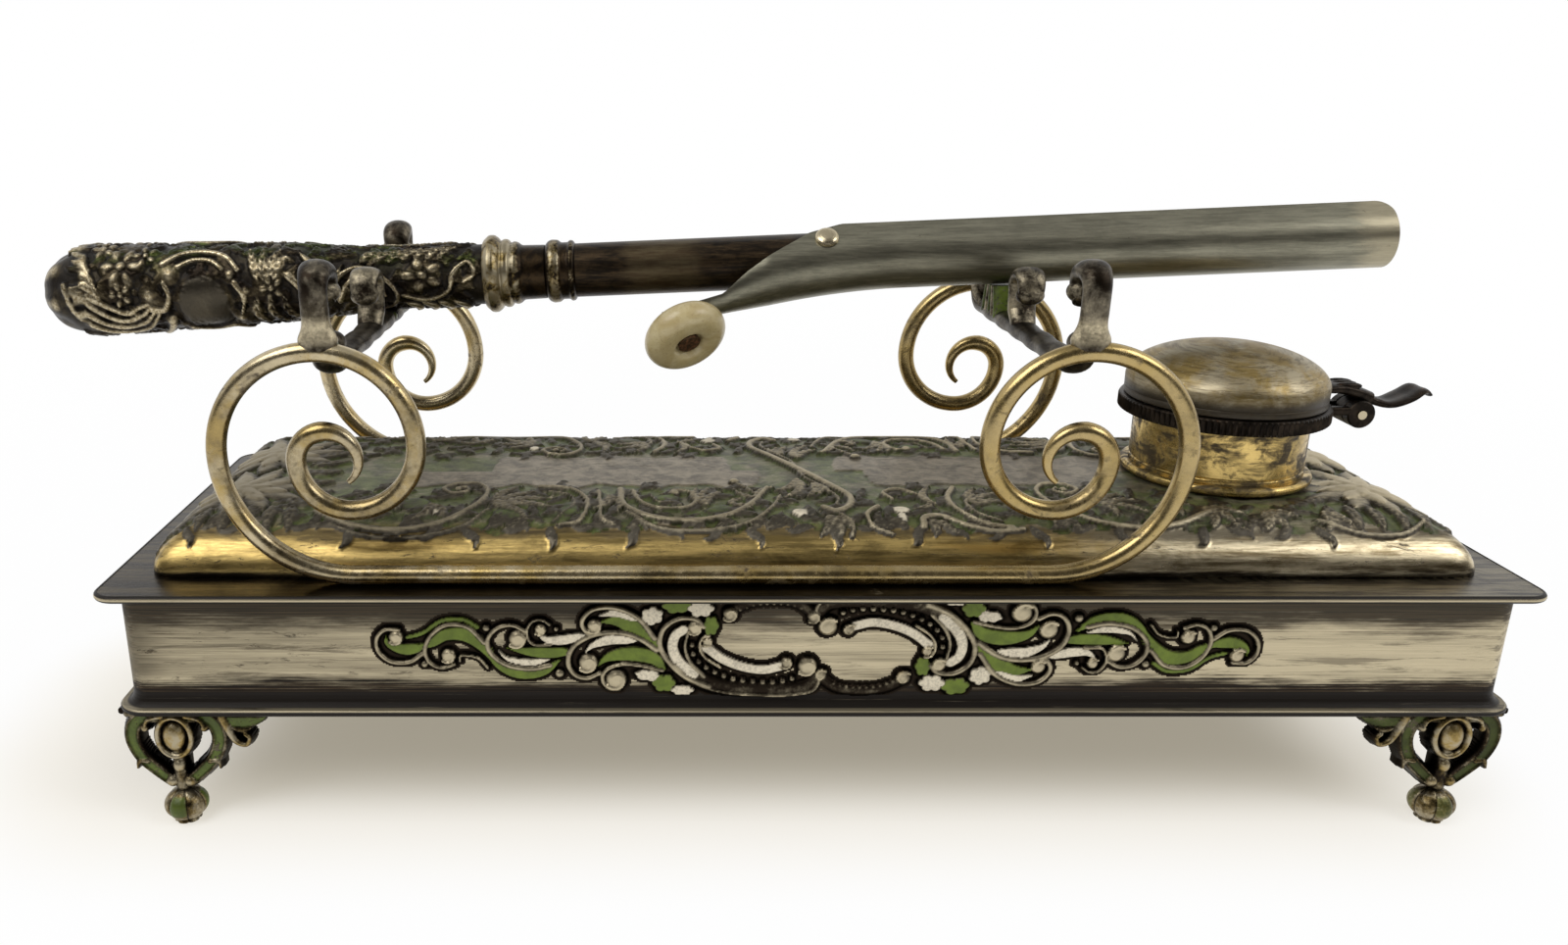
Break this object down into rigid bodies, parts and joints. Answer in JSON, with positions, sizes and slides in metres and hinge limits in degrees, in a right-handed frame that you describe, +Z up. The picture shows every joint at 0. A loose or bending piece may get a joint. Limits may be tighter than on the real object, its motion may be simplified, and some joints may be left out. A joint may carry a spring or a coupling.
{
  "type": "curling tongs stand with spirit burner",
  "caption": "Curling tongs lying in two cradles on a wire scroll stand over a footed casket base with a lidded spirit burner.",
  "frame": {"origin": "on the standing surface, under the middle of the whole object's box", "axes": "+Z up, +X along the tongs towards the jaw, -Y towards the ornamented front"},
  "size_m": [0.2566, 0.0782, 0.098],
  "materials": {
    "casing_plate": "worn silver plate over brass, brushed along the length",
    "dome_plate": "repousse pewter tone with olive enamel and a gilt shoulder",
    "rim_plate": "dark tarnished edge with a worn bright line",
    "front_enamel": "green and cream enamel in oxidised silver scrolls",
    "foot_enamel": "gilt and dark cast metal with green enamel",
    "gilt_wire": "worn gilt wire",
    "cradle_metal": "dark pewter tone with green enamel",
    "gilt_cup": "gilt with dark spots",
    "dark_collar": "blackened knurled metal",
    "lid_plate": "brushed silver-gilt",
    "copper_tube": "plain",
    "wick_cotton": "woven cotton",
    "wadding_cotton": "cotton wadding",
    "handle_silver": "oxidised repousse silver",
    "ferrule_gilt": "gilt, dark in the grooves",
    "rod_steel": "browned steel",
    "jaw_nickel": "satin nickel",
    "screw_steel": "polished",
    "pearl": "polished mother-of-pearl tone",
    "rivet_brown": "dark"
  },
  "bodies": {
    "base": {"cover_dome": "dome_plate", "cover_rim": "rim_plate", "casing_band": "casing_plate", "base_moulding": "rim_plate", "base_plate": "casing_plate", "front_ornament": "front_enamel", "foot_front_left": "foot_enamel", "foot_front_right": "foot_enamel", "foot_rear_left": "foot_enamel", "foot_rear_right": "foot_enamel", "front_scroll_wire": "gilt_wire", "rear_scroll_wire": "gilt_wire", "left_cradle": "cradle_metal", "right_cradle": "cradle_metal", "burner_foot_ring": "gilt_cup", "burner_cup": "gilt_cup", "fuel_wadding": "wadding_cotton"},
    "collar": {"knurled_collar": "dark_collar", "wick_tube": "copper_tube", "wick": "wick_cotton", "lid_hinge_pin": "screw_steel"},
    "lid": {"burner_lid": "lid_plate", "thumb_lever": "dark_collar"},
    "tongs": {"handle_shell": "handle_silver", "pommel_cap": "handle_silver", "handle_ferrule": "ferrule_gilt", "neck_ring": "ferrule_gilt", "tongs_rod": "rod_steel", "pivot_screw": "screw_steel", "return_spring": "screw_steel"},
    "jaw": {"tongs_jaw": "jaw_nickel", "pearl_button": "pearl", "button_rivet": "rivet_brown"}
  },
  "joints": [
    {"name": "collar_turn", "type": "hinge", "parent": "base", "child": "collar", "pos_m": [0.08959, 0, 0.062], "axis": [0, 0, 1], "range_deg": [0, 90]},
    {"name": "lid_hinge", "type": "hinge", "parent": "collar", "child": "lid", "pos_m": [0.11329, 0, 0.0622], "axis": [0, 1, 0], "range_deg": [0, 28]},
    {"name": "tongs_lift", "type": "slide", "parent": "base", "child": "tongs", "axis": [0, 0, 1], "range_m": [0, 0.06]},
    {"name": "jaw_open", "type": "hinge", "parent": "tongs", "child": "jaw", "pos_m": [0.01859, 0.0167, 0.08707], "axis": [0.0326, 0.6428, -0.7653], "range_deg": [0, 10], "stiffness_Nm_per_rad": 0.3, "deforming": ["return_spring"]}
  ],
  "couplings": [
    {"joint": "jaw_open", "follows": "tongs_lift", "rad_per_m": 2.9084}
  ]
}
